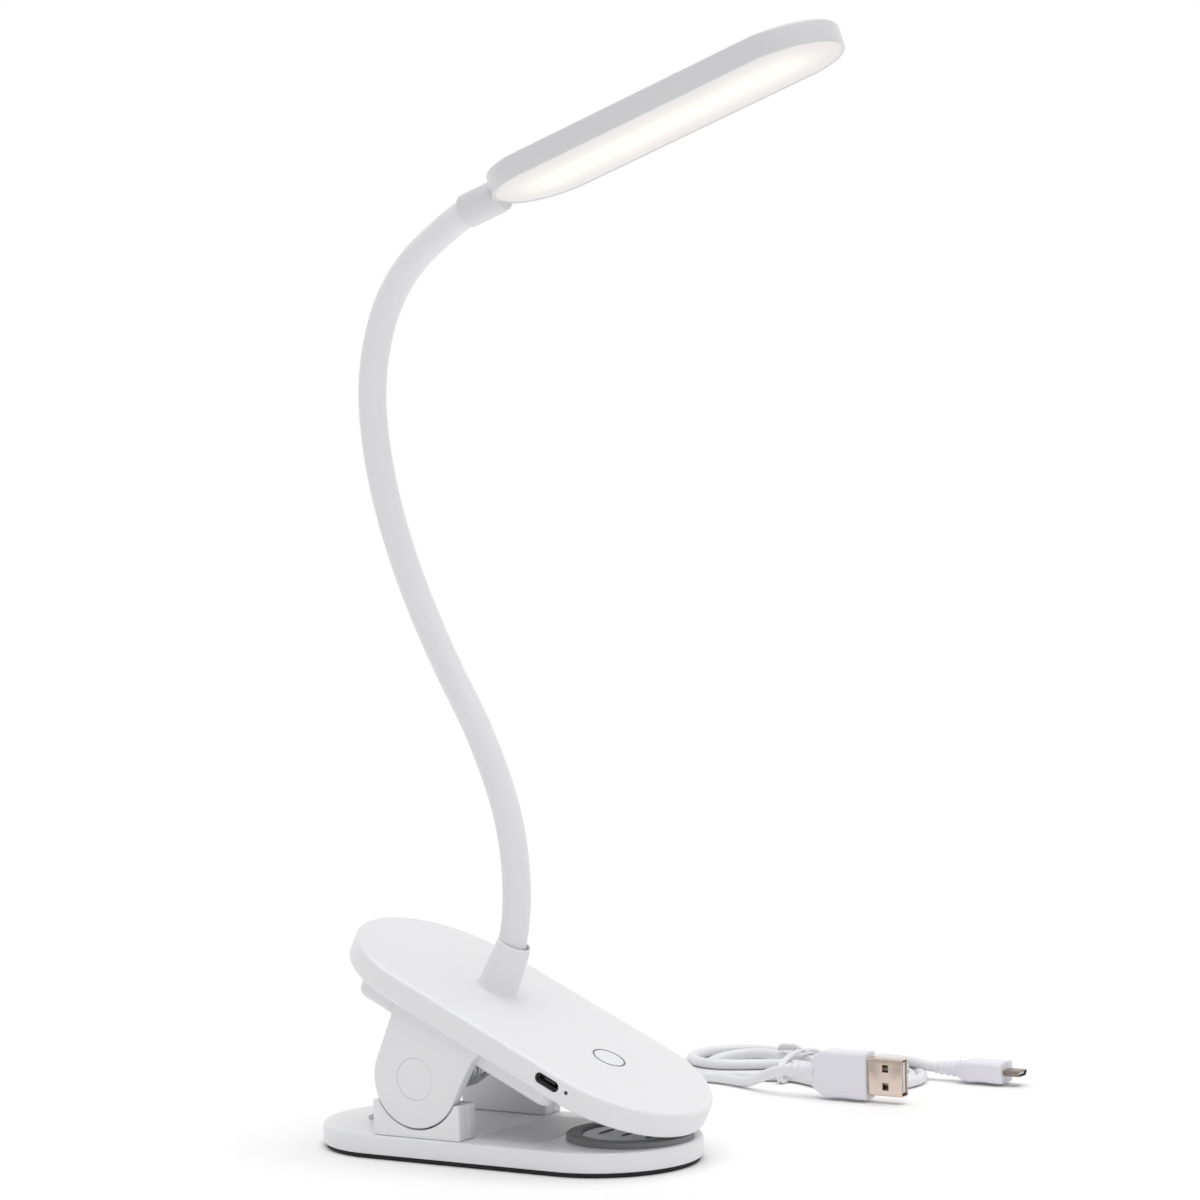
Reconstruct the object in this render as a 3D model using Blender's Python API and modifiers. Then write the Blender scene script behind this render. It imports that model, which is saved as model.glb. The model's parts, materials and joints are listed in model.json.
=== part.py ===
"""Clip-on rechargeable LED reading lamp with its USB charging cable.

Metres, +Z up. +X is the jaw-tip end with the touch button, +Y is the far side.
The origin is the centre of the rubber foot's underside.
"""
import math

import bmesh
import bpy
from mathutils import Vector

# ---- driving dimensions (metres, degrees) ---------------------------------------------
# Lower jaw: the flat plate that the lamp stands on
PLATE_LENGTH, PLATE_WIDTH = 0.125, 0.0585
PLATE_BOTTOM, PLATE_TOP = 0.0015, 0.0073
PLATE_WALL = 0.0020
FOOT_THICKNESS = 0.0012
# Hinge: a steel pin across two cheeks, with the upper jaw's ears outside them
PIN_X, PIN_Z = -0.0150, 0.0250
PIN_RADIUS, BORE_RADIUS = 0.0020, 0.0023
EAR_INNER, EAR_OUTER, EAR_RADIUS = 0.0243, 0.0284, 0.0147
CHEEK_INNER, CHEEK_HALF_LENGTH, CHEEK_TOP = 0.0195, 0.0154, 0.0180
LUG_RADIUS, CAP_RADIUS = 0.0085, 0.0062
SCREW_OFFSET, SCREW_Y = 0.0095, 0.0218
# Torsion spring round the pin
WIRE_RADIUS, COIL_RADIUS, COIL_TURNS = 0.0008, 0.0056, 4
COIL_NEAR, COIL_FAR = -0.0105, 0.0005
LOWER_LEG_END, UPPER_LEG_END = -0.0441, 0.0128
# Upper jaw, in its own axes: x along the shell, z square to it, origin on the pin
JAW_TILT = 24.8
SHELL_LENGTH, SHELL_WIDTH, SHELL_DEPTH = 0.1245, 0.0620, 0.0083
SHELL_TOP, SHELL_MIDDLE = 0.0260, 0.0146
SHELL_WALL = 0.0018
TRAY_DEPTH, TRAY_WALL = 0.0143, 0.0015
TRAY_REAR, TRAY_FRONT, TRAY_HALF_WIDTH = -0.0320, 0.0420, 0.0247
BUTTON_X, BUTTON_RADIUS = 0.0434, 0.0053
PORT_X, PORT_DROP = 0.0422, 0.0034
LAMP_X = 0.0491
# Grip pads
PAD_X, PAD_RADIUS, PAD_WIDTH, PAD_TOP = 0.0420, 0.0190, 0.0045, 0.0092
UPPER_PAD_X = 0.0583
# Gooseneck: equal links, each leaning so many degrees towards +X
NECK_RADIUS, SOCKET_RADIUS, NECK_BORE = 0.0043, 0.0046, 0.0026
LINK_LENGTH = 0.0301
LINK_LEANS = (-0.6, -19.8, -30.5, -24.7, -16.8, -4.8, 19.5, 54.4)
COLLAR_X, COLLAR_HEIGHT, NECK_START = 0.0005, 0.0160, 0.0190
# Head, in its own axes: x along the head, origin on the last neck joint
HEAD_TILT = 18.6
HEAD_LENGTH, HEAD_WIDTH = 0.1190, 0.0380
HEAD_REAR, HEAD_TOP, HEAD_BOTTOM = 0.0156, 0.0042, -0.0028
LED_COUNT = 12
# Charging cable, tied in a hank beside the lamp
HANK_X, HANK_Y = 0.0200, 0.1500
HANK_LENGTH, HANK_WIDTH, HANK_BOTTOM, HANK_TOP = 0.0930, 0.0460, 0.0009, 0.0109
CORD_RADIUS = 0.00175
USB_A_X, USB_A_Y = 0.0420, 0.1180
MICRO_X, MICRO_Y = 0.0720, 0.1640
GAP = 0.0003

ARC_STEPS = 7
ROUND_STEPS = 24

for old in list(bpy.data.objects):
    bpy.data.objects.remove(old, do_unlink=True)

lamp = bpy.data.collections.new("clip_on_reading_lamp")
cutters = bpy.data.collections.new("cutters")
for collection in (lamp, cutters):
    bpy.context.scene.collection.children.link(collection)

# ---- looks: colour, roughness, metallic -----------------------------------------------
WHITE = ((0.84, 0.84, 0.85), 0.35, 0.0)
WHITE_SOFT = ((0.80, 0.80, 0.81), 0.45, 0.0)
WHITE_LIT = ((1.0, 0.97, 0.90), 0.30, 0.0)
BLACK_RUBBER = ((0.015, 0.015, 0.015), 0.80, 0.0)
GREY_RUBBER = ((0.16, 0.16, 0.16), 0.70, 0.0)
DARK_WINDOW = ((0.02, 0.02, 0.02), 0.30, 0.0)
BOARD_GREEN = ((0.02, 0.16, 0.07), 0.50, 0.0)
STEEL = ((0.60, 0.60, 0.60), 0.32, 1.0)
FOIL = ((0.45, 0.47, 0.50), 0.40, 0.6)
GILT = ((0.75, 0.62, 0.45), 0.30, 1.0)


def material(name, look):
    colour, roughness, metallic = look
    made = bpy.data.materials.new(name)
    made.use_nodes = True
    shader = made.node_tree.nodes["Principled BSDF"]
    shader.inputs["Base Color"].default_value = (*colour, 1.0)
    shader.inputs["Roughness"].default_value = roughness
    shader.inputs["Metallic"].default_value = metallic
    made.diffuse_color = (*colour, 1.0)
    return made


# ---- outlines -------------------------------------------------------------------------
def arc(x, y, radius, start, end, steps):
    """Points on an arc, with both its ends."""
    angles = (math.radians(start + (end - start) * i / steps) for i in range(steps + 1))
    return [(x + radius * math.cos(a), y + radius * math.sin(a)) for a in angles]


def capsule(rear, front, half_width, inset=0.0, steps=ARC_STEPS):
    """An oblong with half-round ends, its edge brought in by inset."""
    radius = half_width - inset
    return (arc(front - half_width, 0.0, radius, -90, 90, 2 * steps)
            + arc(rear + half_width, 0.0, radius, 90, 270, 2 * steps))


def round_box(rear, front, half_width, corner, inset=0.0, steps=4):
    """A rectangle with rounded corners, its edge brought in by inset."""
    right, left, side = front - corner, rear + corner, half_width - corner
    points = []
    for x, y, start in ((right, -side, -90), (right, side, 0), (left, side, 90), (left, -side, 180)):
        points += arc(x, y, corner - inset, start, start + 90, steps)
    return points


def plate_outline(inset):
    return capsule(-PLATE_LENGTH / 2, PLATE_LENGTH / 2, PLATE_WIDTH / 2, inset)


def shell_outline(inset):
    return capsule(SHELL_MIDDLE - SHELL_LENGTH / 2, SHELL_MIDDLE + SHELL_LENGTH / 2, SHELL_WIDTH / 2, inset)


def tray_outline(inset):
    return round_box(TRAY_REAR, TRAY_FRONT, TRAY_HALF_WIDTH, 0.0045, inset)


def head_outline(inset):
    return capsule(HEAD_REAR, HEAD_REAR + HEAD_LENGTH, HEAD_WIDTH / 2, inset)


# ---- building -------------------------------------------------------------------------
def keep(obj, look, parent):
    """Puts a piece among the lamp's parts, or among the cutters when it has no look."""
    if look is None:
        cutters.objects.link(obj)
        obj.display_type = "WIRE"
        obj.hide_render = True
    else:
        lamp.objects.link(obj)
        obj.data.materials.append(material(obj.name + "_material", look))
    obj.parent = parent
    return obj


def slab(name, outline, low, high, look=None, parent=None, upright=False):
    """A flat outline with a thickness, from low to high along z. An upright one is drawn in x and z, and its
    thickness runs from low to high along y."""
    curve = bpy.data.curves.new(name, "CURVE")
    curve.dimensions, curve.fill_mode, curve.extrude = "2D", "BOTH", abs(high - low) / 2
    line = curve.splines.new("POLY")
    line.points.add(len(outline) - 1)
    line.use_cyclic_u = True
    for spot, (x, y) in zip(line.points, outline):
        spot.co = (x, y, 0.0, 1.0)
    drawn = bpy.data.objects.new(name, curve)
    bpy.context.scene.collection.objects.link(drawn)
    mesh = bpy.data.meshes.new_from_object(drawn.evaluated_get(bpy.context.evaluated_depsgraph_get()))
    bpy.data.objects.remove(drawn, do_unlink=True)
    shape = bmesh.new()
    shape.from_mesh(mesh)
    bmesh.ops.remove_doubles(shape, verts=shape.verts, dist=1e-6)
    bmesh.ops.dissolve_limit(shape, angle_limit=math.radians(1), verts=shape.verts, edges=shape.edges)
    bmesh.ops.recalc_face_normals(shape, faces=shape.faces)
    shape.to_mesh(mesh)
    shape.free()
    obj = keep(bpy.data.objects.new(name, mesh), look, parent)
    middle = (low + high) / 2
    obj.location = (0, middle, 0) if upright else (0, 0, middle)
    if upright:
        obj.rotation_euler.x = math.radians(90)
    return obj


def primitive(name, look, parent, make, **sizes):
    mesh = bpy.data.meshes.new(name)
    shape = bmesh.new()
    make(shape, **sizes)
    shape.to_mesh(mesh)
    shape.free()
    return keep(bpy.data.objects.new(name, mesh), look, parent)


def rod(name, radius, start, end, look=None, parent=None, steps=ROUND_STEPS):
    """A plain cylinder from start to end."""
    start, end = Vector(start), Vector(end)
    obj = primitive(name, look, parent, bmesh.ops.create_cone, cap_ends=True, segments=steps, radius1=radius,
                    radius2=radius, depth=(end - start).length)
    obj.location = (start + end) / 2
    obj.rotation_euler = (end - start).to_track_quat("Z", "Y").to_euler()
    return obj


def block(name, x, y, z, look=None, parent=None):
    """A box over the ranges x, y and z."""
    obj = primitive(name, look, parent, bmesh.ops.create_cube, size=1.0)
    for vertex in obj.data.vertices:
        vertex.co = [c * abs(span[1] - span[0]) for c, span in zip(vertex.co, (x, y, z))]
    obj.location = [sum(span) / 2 for span in (x, y, z)]
    return obj


def turned(name, profile, look=None, parent=None, steps=ROUND_STEPS):
    """A solid turned about its own z axis from a (radius, z) loop, or a line from the axis to the axis."""
    area = sum(a[0] * b[1] - b[0] * a[1] for a, b in zip(profile, profile[1:] + profile[:1]))
    if area > 0:
        profile = profile[::-1]
    count, on_axis = len(profile), profile[0][0] == 0 or profile[-1][0] == 0
    edges = [(i, (i + 1) % count) for i in range(count - 1 if on_axis else count)]
    mesh = bpy.data.meshes.new(name)
    mesh.from_pydata([(radius, 0.0, z) for radius, z in profile], edges, [])
    obj = keep(bpy.data.objects.new(name, mesh), look, parent)
    turn = obj.modifiers.new("turn", "SCREW")
    turn.axis, turn.angle = "Z", 2 * math.pi
    turn.steps = turn.render_steps = steps
    turn.use_merge_vertices, turn.merge_threshold = on_axis, 1e-5
    return obj


def wire(name, points, radius, look):
    """A round wire or cord along points."""
    curve = bpy.data.curves.new(name, "CURVE")
    curve.dimensions = "3D"
    curve.bevel_depth, curve.bevel_resolution, curve.use_fill_caps = radius, 2, True
    line = curve.splines.new("POLY")
    line.points.add(len(points) - 1)
    for spot, point in zip(line.points, points):
        spot.co = (*point, 1.0)
    return keep(bpy.data.objects.new(name, curve), look, None)


def bevel(obj, width, segments=2):
    rounding = obj.modifiers.new("edge", "BEVEL")
    rounding.width, rounding.segments = width, segments
    rounding.limit_method, rounding.angle_limit = "ANGLE", math.radians(45)
    return obj


def combine(obj, *others, operation="DIFFERENCE"):
    for other in others:
        step = obj.modifiers.new(other.name, "BOOLEAN")
        step.operation = operation
        step.object = other
        step.solver = "EXACT"
    return obj


def axis(name, location, turn=0.0, parent=None):
    """An empty on a joint. Its z axis leans turn degrees towards +X."""
    empty = bpy.data.objects.new(name, None)
    empty.empty_display_size = 0.01
    lamp.objects.link(empty)
    empty.location = location
    empty.rotation_euler = (0.0, math.radians(turn), 0.0)
    empty.parent = parent
    return empty


def machine_screw(name, x, y, head_low, head_high, tip, parent=None):
    """A round-head screw, its head below and its tip above."""
    screw = turned(name, [(0.0, head_low), (0.0022, head_low), (0.0022, head_high), (0.0011, head_high),
                          (0.0011, tip), (0.0, tip)], STEEL, parent, steps=16)
    screw.location.x, screw.location.y = x, y
    return screw


# ---- lower jaw ------------------------------------------------------------------------
plate = bevel(slab("lower_plate", plate_outline(0), PLATE_BOTTOM, PLATE_TOP, WHITE), 0.0006)
combine(plate, slab("plate_hollow", plate_outline(PLATE_WALL), PLATE_BOTTOM - 0.001, PLATE_TOP - 0.0017))
slab("lower_cover", plate_outline(PLATE_WALL + GAP), PLATE_BOTTOM, PLATE_BOTTOM + 0.0010, WHITE_SOFT)
slab("counterweight", capsule(-0.056, 0.056, 0.0185, steps=5), 0.0028, 0.0052, STEEL)
bevel(slab("foot_pad", plate_outline(0.0010), 0.0, FOOT_THICKNESS, BLACK_RUBBER), 0.0004, 1)

# ---- hinge cheeks, each fixed to the plate with two screws ------------------------------
hinge = (PIN_X, 0.0, PIN_Z)
cheek_profile = [
    (PIN_X - CHEEK_HALF_LENGTH, PLATE_TOP + GAP), (PIN_X + CHEEK_HALF_LENGTH, PLATE_TOP + GAP),
    (PIN_X + CHEEK_HALF_LENGTH, CHEEK_TOP), (PIN_X + LUG_RADIUS, CHEEK_TOP),
    *arc(PIN_X, PIN_Z, LUG_RADIUS, 0, 180, 12),
    (PIN_X - LUG_RADIUS, CHEEK_TOP), (PIN_X - CHEEK_HALF_LENGTH, CHEEK_TOP),
]
pin_bore = rod("pin_bore", BORE_RADIUS, (PIN_X, -0.0300, PIN_Z), (PIN_X, 0.0300, PIN_Z))
for side, name in ((-1, "near"), (1, "far")):
    cheek = slab(f"cheek_{name}", cheek_profile, side * CHEEK_INNER, side * EAR_OUTER, WHITE, upright=True)
    pocket = rod(f"ear_pocket_{name}", EAR_RADIUS + 0.0006, (PIN_X, side * (EAR_INNER - GAP), PIN_Z),
                 (PIN_X, side * 0.0310, PIN_Z), steps=48)
    combine(cheek, pocket, pin_bore)
    for end, x in (("rear", PIN_X - SCREW_OFFSET), ("front", PIN_X + SCREW_OFFSET)):
        spot = f"{name}_{end}"
        y = side * SCREW_Y
        combine(plate, rod(f"plate_hole_{spot}", 0.0014, (x, y, 0.004), (x, y, 0.009)))
        combine(cheek, rod(f"cheek_pilot_{spot}", 0.0014, (x, y, 0.006), (x, y, 0.0135), steps=16))
        machine_screw(f"cheek_screw_{spot}", x, y, 0.0036, 0.0053, 0.0130)
rod("hinge_pin", PIN_RADIUS, (PIN_X, -0.0270, PIN_Z), (PIN_X, 0.0270, PIN_Z), STEEL)

# ---- torsion spring: its lower leg rests on the plate, its upper leg meets the tray -------
tilt = math.radians(JAW_TILT)
jaw_up = Vector((math.sin(tilt), 0, math.cos(tilt)))
jaw_forward = Vector((math.cos(tilt), 0, -math.sin(tilt)))
LEG_REST = WIRE_RADIUS + GAP


def below(depth):
    """Height of a point so far below the shell's top face."""
    return SHELL_TOP - depth


def tangent_angle(leg, side):
    """Angle round the pin where a straight leg ending at leg, measured from the pin, meets the coil."""
    return math.atan2(leg.z, leg.x) + side * math.acos(COIL_RADIUS / math.hypot(leg.x, leg.z))


def spring_route():
    """The wire's centreline: the lower leg, the coil and the upper leg."""
    lower_leg = Vector((LOWER_LEG_END - PIN_X, 0, PLATE_TOP + LEG_REST - PIN_Z))
    upper_leg = jaw_up * (below(TRAY_DEPTH) - LEG_REST) + jaw_forward * UPPER_LEG_END
    start, end = tangent_angle(lower_leg, 1), tangent_angle(upper_leg, -1) + 2 * math.pi * COIL_TURNS
    steps = COIL_TURNS * 14
    points = [Vector(hinge) + lower_leg + Vector((0, COIL_NEAR, 0))]
    for i in range(steps + 1):
        angle = start + (end - start) * i / steps
        points.append(Vector(hinge) + Vector((COIL_RADIUS * math.cos(angle),
                                              COIL_NEAR + (COIL_FAR - COIL_NEAR) * i / steps,
                                              COIL_RADIUS * math.sin(angle))))
    return points + [Vector(hinge) + upper_leg + Vector((0, COIL_FAR, 0))]


wire("torsion_spring", spring_route(), WIRE_RADIUS, STEEL)

# ---- lower grip: a rubber ring round a field with three slots ---------------------------
turned("lower_grip_ring", [
    (PAD_RADIUS - PAD_WIDTH, PLATE_TOP + GAP), (PAD_RADIUS, PLATE_TOP + GAP),
    (PAD_RADIUS, PAD_TOP - 0.0005), (PAD_RADIUS - 0.0005, PAD_TOP),
    (PAD_RADIUS - PAD_WIDTH + 0.0005, PAD_TOP), (PAD_RADIUS - PAD_WIDTH, PAD_TOP - 0.0005),
], GREY_RUBBER, steps=36).location.x = PAD_X
field = rod("lower_grip_field", PAD_RADIUS - PAD_WIDTH - GAP, (PAD_X, 0, PLATE_TOP + GAP),
            (PAD_X, 0, 0.0084), WHITE_SOFT, steps=32)
for number in range(3):
    x = PAD_X + (number - 1) * 0.0080
    combine(field, block(f"field_slot_{number + 1}", (x - 0.0007, x + 0.0007), (-0.0050, 0.0050),
                         (0.0079, 0.0090)))

# ---- upper jaw ------------------------------------------------------------------------
jaw = axis("clip_axis", hinge, JAW_TILT)

shell = bevel(slab("top_shell", shell_outline(0), below(SHELL_DEPTH), SHELL_TOP, WHITE, jaw), 0.0011)
shell_hollow = slab("shell_hollow", shell_outline(SHELL_WALL), below(SHELL_DEPTH + 0.001), below(0.0020),
                    parent=jaw)
combine(shell, shell_hollow)

# The tray is a cup with a flange that closes the shell from below.
tray = slab("under_tray", tray_outline(0), below(TRAY_DEPTH), below(0.0071), WHITE, jaw)
bevel(tray, 0.0008)
combine(tray, slab("tray_flange", shell_outline(SHELL_WALL + GAP), below(0.0080), below(0.0070), parent=jaw),
        operation="UNION")
tray_hollow = slab("tray_hollow", tray_outline(TRAY_WALL), below(TRAY_DEPTH - TRAY_WALL), below(0.0060),
                   parent=jaw)
combine(tray, tray_hollow)

# Two ears hang from the flange, outside the tray's walls, and turn on the pin.
ear_top = below(0.0075)
ear_profile = [(-0.0154, ear_top), *arc(0, 0, EAR_RADIUS, 180, 360, 18), (0.0151, 0.0080), (0.0156, 0.0140),
               (0.0170, 0.0180), (0.0171, ear_top)]
for side, name in ((-1, "near"), (1, "far")):
    ear = slab(f"ear_{name}", ear_profile, side * EAR_INNER, side * EAR_OUTER, parent=jaw, upright=True)
    recess = rod(f"cap_recess_{name}", CAP_RADIUS + GAP, (0, side * 0.0272, 0), (0, side * 0.0300, 0),
                 parent=jaw)
    combine(tray, ear, operation="UNION")
    combine(tray, recess)
    rod(f"pin_cap_{name}", CAP_RADIUS, (0, side * 0.0275, 0), (0, side * (EAR_OUTER - 0.0001), 0),
        WHITE, jaw)
combine(tray, rod("ear_bore", BORE_RADIUS, (0, -0.0295, 0), (0, 0.0295, 0), parent=jaw))

# Two screws go up through posts in the tray into bosses under the shell.
def jaw_rod(name, radius, x, low, high):
    """A rod square to the shell, its ends so far below the shell's top face."""
    return rod(name, radius, (x, 0, below(low)), (x, 0, below(high)), parent=jaw)


for number, x in enumerate((-0.0252, 0.0206), 1):
    combine(tray, jaw_rod(f"tray_post_{number}", 0.0034, x, 0.0135, 0.0083), operation="UNION")
    combine(shell, jaw_rod(f"shell_boss_{number}", 0.0028, x, 0.0080, 0.0010), operation="UNION")
    combine(tray, jaw_rod(f"head_recess_{number}", 0.0025, x, 0.0160, 0.0121),
            jaw_rod(f"tray_hole_{number}", 0.0014, x, 0.0130, 0.0070))
    combine(shell, jaw_rod(f"boss_pilot_{number}", 0.0014, x, 0.0090, 0.0035))
    machine_screw(f"tray_screw_{number}", x, 0, below(0.0141), below(0.0124), below(0.0040), jaw)

# Openings in the shell: neck, touch ring, charging port and charge lamp.
wall_y = -SHELL_WIDTH / 2
port_z = below(PORT_DROP)
port_profile = (arc(PORT_X + 0.0026, port_z, 0.00165, -90, 90, 4)
                + arc(PORT_X - 0.0026, port_z, 0.00165, 90, 270, 4))
combine(
    shell,
    rod("neck_hole", SOCKET_RADIUS, (COLLAR_X, 0, below(0.0040)), (COLLAR_X, 0, below(-0.0020)), parent=jaw),
    slab("port_slot", port_profile, wall_y - 0.001, wall_y + 0.003, parent=jaw, upright=True),
)
groove = turned("ring_groove", [
    (BUTTON_RADIUS - 0.0009, below(0.0006)), (BUTTON_RADIUS + 0.0002, below(0.0006)),
    (BUTTON_RADIUS + 0.0002, below(-0.0005)), (BUTTON_RADIUS - 0.0009, below(-0.0005)),
], parent=jaw, steps=32)
groove.location.x = BUTTON_X
combine(shell, groove)
turned("touch_ring", [
    (BUTTON_RADIUS - 0.0007, below(0.0005)), (BUTTON_RADIUS, below(0.0005)),
    (BUTTON_RADIUS, below(0.0)), (BUTTON_RADIUS - 0.0007, below(0.0)),
], GREY_RUBBER, jaw, steps=32).location.x = BUTTON_X

# The charge lamp sits square to the wall, just where the front end starts to curve.
front_centre = SHELL_MIDDLE + SHELL_LENGTH / 2 - SHELL_WIDTH / 2
lamp_turn = math.asin((LAMP_X - front_centre) / (SHELL_WIDTH / 2))
lamp_out = Vector((math.sin(lamp_turn), -math.cos(lamp_turn), 0))
lamp_centre = Vector((front_centre, 0, port_z + 0.0002))
combine(shell, rod("lamp_hole", 0.0008, lamp_centre + lamp_out * 0.0285, lamp_centre + lamp_out * 0.0320,
                   parent=jaw, steps=12))
rod("charge_lamp", 0.0005, lamp_centre + lamp_out * 0.0280, lamp_centre + lamp_out * 0.0308, DARK_WINDOW,
    jaw, steps=12)

# Electronics inside the upper jaw
battery = block("battery", (-0.0215, 0.0155), (-0.0180, 0.0180), (below(0.0122), below(0.0062)), FOIL, jaw)
bevel(battery, 0.0006, 1)
slab("main_board", capsule(0.0256, 0.0700, 0.0215), below(0.0056), below(0.0048), BOARD_GREEN, jaw)


def socket_profile(wall):
    """The charging socket's steel shell, wider along its upper edge."""
    wide, narrow, half_height, step = 0.0037 - wall, 0.0029 - wall * 0.8, 0.0011 - wall, -0.0004
    right = [(narrow, -half_height), (wide, step), (wide, half_height)]
    left = [(-x, z) for x, z in reversed(right)]
    return [(PORT_X + x, port_z + z) for x, z in left + right]


socket = slab("usb_socket", socket_profile(0), -0.0300, -0.0240, STEEL, jaw, upright=True)
combine(socket, slab("socket_hollow", socket_profile(0.0003), -0.0310, -0.0250, parent=jaw, upright=True))
rod("touch_sensor", 0.0048, (BUTTON_X, 0, below(0.0045)), (BUTTON_X, 0, below(0.0023)), GILT, jaw)
turned("upper_grip_pad", [
    (0.0075, below(0.0083)), (0.0125, below(0.0083)), (0.0125, below(0.0094)),
    (0.0120, below(0.0099)), (0.0080, below(0.0099)), (0.0075, below(0.0094)),
], GREY_RUBBER, jaw, steps=36).location.x = UPPER_PAD_X

# Collar, neck root and the nut that clamps the root under the shell
turned("neck_collar", [
    (SOCKET_RADIUS, below(-GAP)), (0.0080, below(-GAP)), (0.0068, below(-0.0012)), (0.0062, below(-0.0030)),
    (0.0052, below(0.0004 - COLLAR_HEIGHT)), (0.0050, below(-COLLAR_HEIGHT)),
    (SOCKET_RADIUS, below(-COLLAR_HEIGHT)),
], WHITE, jaw).location.x = COLLAR_X
neck_base = SHELL_TOP + NECK_START
quarter = [math.radians(a) for a in (0, 17, 34, 50)]


def ball(height):
    """Profile of a ball end whose centre is at height, from its equator up to the bore."""
    points = [(NECK_RADIUS * math.cos(a), height + NECK_RADIUS * math.sin(a)) for a in quarter]
    return points + [(NECK_BORE, points[-1][1])]


root = turned("neck_root", [(NECK_BORE, below(0.0050)), (NECK_RADIUS, below(0.0050))] + ball(neck_base),
              WHITE_SOFT, jaw, steps=20)
root.location.x = COLLAR_X
nut = rod("collar_nut", 0.0080, (COLLAR_X, 0, below(0.0049)), (COLLAR_X, 0, below(0.0023)), STEEL, jaw,
          steps=6)
combine(nut, rod("nut_bore", 0.0056, (COLLAR_X, 0, below(0.0060)), (COLLAR_X, 0, below(0.0010)), parent=jaw))

# ---- gooseneck: each link's cup takes the ball of the one before ------------------------
spot = Vector(hinge) + jaw_forward * COLLAR_X + jaw_up * neck_base
rim = math.sqrt(SOCKET_RADIUS ** 2 - NECK_RADIUS ** 2)
socket_arc = [(SOCKET_RADIUS * math.cos(a), SOCKET_RADIUS * math.sin(a))
              for a in (math.acos(NECK_BORE / SOCKET_RADIUS), 0.75, 0.55)]
link_profile = socket_arc + [(NECK_RADIUS, rim)] + ball(LINK_LENGTH)
for number, lean in enumerate(LINK_LEANS, 1):
    joint = axis(f"neck_axis_{number}", spot, lean)
    turned(f"neck_link_{number}", link_profile, WHITE_SOFT, joint, steps=20)
    rod(f"neck_core_{number}", 0.0022, (0, 0, 0.0075), (0, 0, LINK_LENGTH - 0.0045), STEEL, joint, steps=12)
    spot = spot + Vector((math.sin(math.radians(lean)), 0, math.cos(math.radians(lean)))) * LINK_LENGTH

# ---- head -----------------------------------------------------------------------------
head = axis("head_axis", spot, -HEAD_TILT)

head_shell = bevel(slab("head_shell", head_outline(0), HEAD_BOTTOM, HEAD_TOP, WHITE, head), 0.0007)
combine(
    head_shell,
    slab("head_hollow", head_outline(0.0016), HEAD_BOTTOM - 0.001, HEAD_TOP - 0.0015, parent=head),
    rod("tenon_hole", 0.0013, (HEAD_REAR - 0.002, 0, 0.0013), (HEAD_REAR + 0.004, 0, 0.0013), parent=head),
)
slab("diffuser", head_outline(0.0019), HEAD_BOTTOM + 0.0001, HEAD_BOTTOM + 0.0015, WHITE_LIT, head)
reflector = slab("reflector_frame", head_outline(0.0020), -0.0009, 0.0, WHITE, head)
combine(reflector, slab("reflector_window", head_outline(0.0060), -0.0020, 0.0010, parent=head))
board = slab("led_board", capsule(HEAD_REAR + 0.0140, HEAD_REAR + 0.1130, 0.0120), 0.0012, 0.0022,
             WHITE_SOFT, head)
for number in range(LED_COUNT):
    x = HEAD_REAR + 0.0200 + number * 0.0870 / (LED_COUNT - 1)
    combine(board, block(f"led_{number + 1}", (x - 0.0014, x + 0.0014), (-0.0017, 0.0017), (0.0005, 0.0015),
                         parent=head), operation="UNION")
connector = turned("head_connector", socket_arc + [
    (NECK_RADIUS, rim), (0.0050, 0.0032), (0.0050, HEAD_REAR - 0.0007), (0.0046, HEAD_REAR - GAP),
    (NECK_BORE, HEAD_REAR - GAP)], WHITE, head, steps=20)
connector.rotation_euler.y = math.radians(90)
rod("head_tenon", 0.0010, (HEAD_REAR - 0.0090, 0, 0.0013), (HEAD_REAR + 0.0120, 0, 0.0013), STEEL, head, 12)

# ---- charging cable -------------------------------------------------------------------
hank_outline = [(x, y + HANK_Y) for x, y in capsule(HANK_X - HANK_LENGTH / 2, HANK_X + HANK_LENGTH / 2,
                                                    HANK_WIDTH / 2)]
slab("cable_hank", hank_outline, HANK_BOTTOM, HANK_TOP, WHITE_SOFT)
tie = block("twist_tie", (HANK_X - 0.0015, HANK_X + 0.0015), (HANK_Y - 0.0239, HANK_Y + 0.0239),
            (0.0, HANK_TOP + 0.0009), WHITE_SOFT)
combine(tie, block("tie_window", (HANK_X - 0.0030, HANK_X + 0.0030), (HANK_Y - 0.0233, HANK_Y + 0.0233),
                   (HANK_BOTTOM - GAP, HANK_TOP + GAP)))


def plug(prefix, x, y, grip, metal, metal_look):
    """A moulded grip lying along +X with its metal shell in front. Each size is (length, width, height)."""
    low, wall = 0.0008, 0.0004
    length, half_width, height = grip[0], grip[1] / 2, grip[2]
    middle = low + height / 2
    body = block(f"{prefix}_grip", (x, x + length), (y - half_width, y + half_width), (low, low + height),
                 WHITE_SOFT)
    for vertex in body.data.vertices:
        if vertex.co.x < 0:
            vertex.co.y *= 0.78
            vertex.co.z *= 0.78
    bevel(body, 0.0010)
    start = x + length + GAP
    end, half_y, half_z = start + metal[0], metal[1] / 2, metal[2] / 2
    shell = block(f"{prefix}_shell", (start, end), (y - half_y, y + half_y),
                  (middle - half_z, middle + half_z), metal_look)
    inner_y, inner_z = half_y - wall, half_z - wall
    combine(shell, block(f"{prefix}_mouth", (start + 0.001, end + 0.001), (y - inner_y, y + inner_y),
                         (middle - inner_z, middle + inner_z)))


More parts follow.
